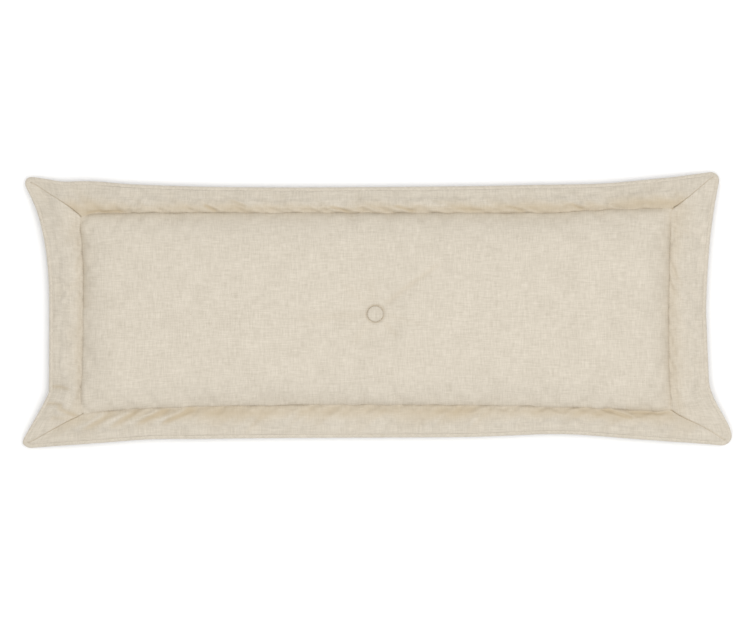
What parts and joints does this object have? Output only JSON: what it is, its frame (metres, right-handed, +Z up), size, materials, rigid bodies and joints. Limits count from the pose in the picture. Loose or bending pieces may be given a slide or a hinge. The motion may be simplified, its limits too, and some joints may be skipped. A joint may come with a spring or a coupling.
{
  "type": "seat pad",
  "caption": "Long rectangular seat pad with a raised centre panel, mitred flat border, piped edge and a covered button tuft, over a zipped-in foam and wadding insert.",
  "frame": {"origin": "middle of the pad's footprint, on the seat that it lies on", "axes": "+X along the pad's length, +Y across it away from the zip, +Z up out of the tufted face"},
  "size_m": [0.9141, 0.3583, 0.0622],
  "materials": {
    "linen": "matt natural linen, slubbed plain weave",
    "calico": "matt unbleached cotton calico",
    "wadding": "matt white polyester wadding",
    "foam": "matt open-cell polyurethane foam",
    "piping_cord": "matt twisted cotton cord",
    "zip_tape": "matt woven polyester tape",
    "zip_nylon": "satin nylon coil",
    "zip_alloy": "satin nickel-plated alloy",
    "button_metal": "bright pressed metal",
    "twine": "matt waxed linen twine"
  },
  "bodies": {
    "pad": {"front_panel": "linen", "border_rear": "linen", "border_right": "linen", "border_front": "linen", "border_left": "linen", "zip_tape_rear": "zip_tape", "zip_coil_rear": "zip_nylon", "zip_top_stop_rear": "zip_alloy", "zip_tape_front": "zip_tape", "zip_coil_front": "zip_nylon", "zip_top_stop_front": "zip_alloy", "zip_bottom_stop": "zip_alloy", "back_panel": "linen", "back_zip_panel": "linen", "piping_wrap": "linen", "piping_cord": "piping_cord", "border_wadding_rear": "wadding", "border_wadding_right": "wadding", "border_wadding_front": "wadding", "border_wadding_left": "wadding", "insert_case_top": "calico", "insert_case_bottom": "calico", "foam_core": "foam", "wadding_top": "wadding", "wadding_bottom": "wadding", "button_front_cover": "linen", "button_front_shell": "button_metal", "button_front_plate": "button_metal", "button_front_eye": "button_metal", "button_back_cover": "linen", "button_back_shell": "button_metal", "button_back_plate": "button_metal", "button_back_eye": "button_metal", "tufting_twine": "twine"},
    "zip_slider": {"zip_slider": "zip_alloy"},
    "zip_pull_tab": {"zip_pull_tab": "zip_alloy"}
  },
  "joints": [
    {"name": "zip_slide", "type": "slide", "parent": "pad", "child": "zip_slider", "axis": [-1, 0, 0], "range_m": [0, 0.585]},
    {"name": "pull_tab_swing", "type": "hinge", "parent": "zip_slider", "child": "zip_pull_tab", "pos_m": [0.2933, -0.10687, 0.01133], "axis": [0, -0.8397, 0.543], "range_deg": [0, 170]}
  ]
}
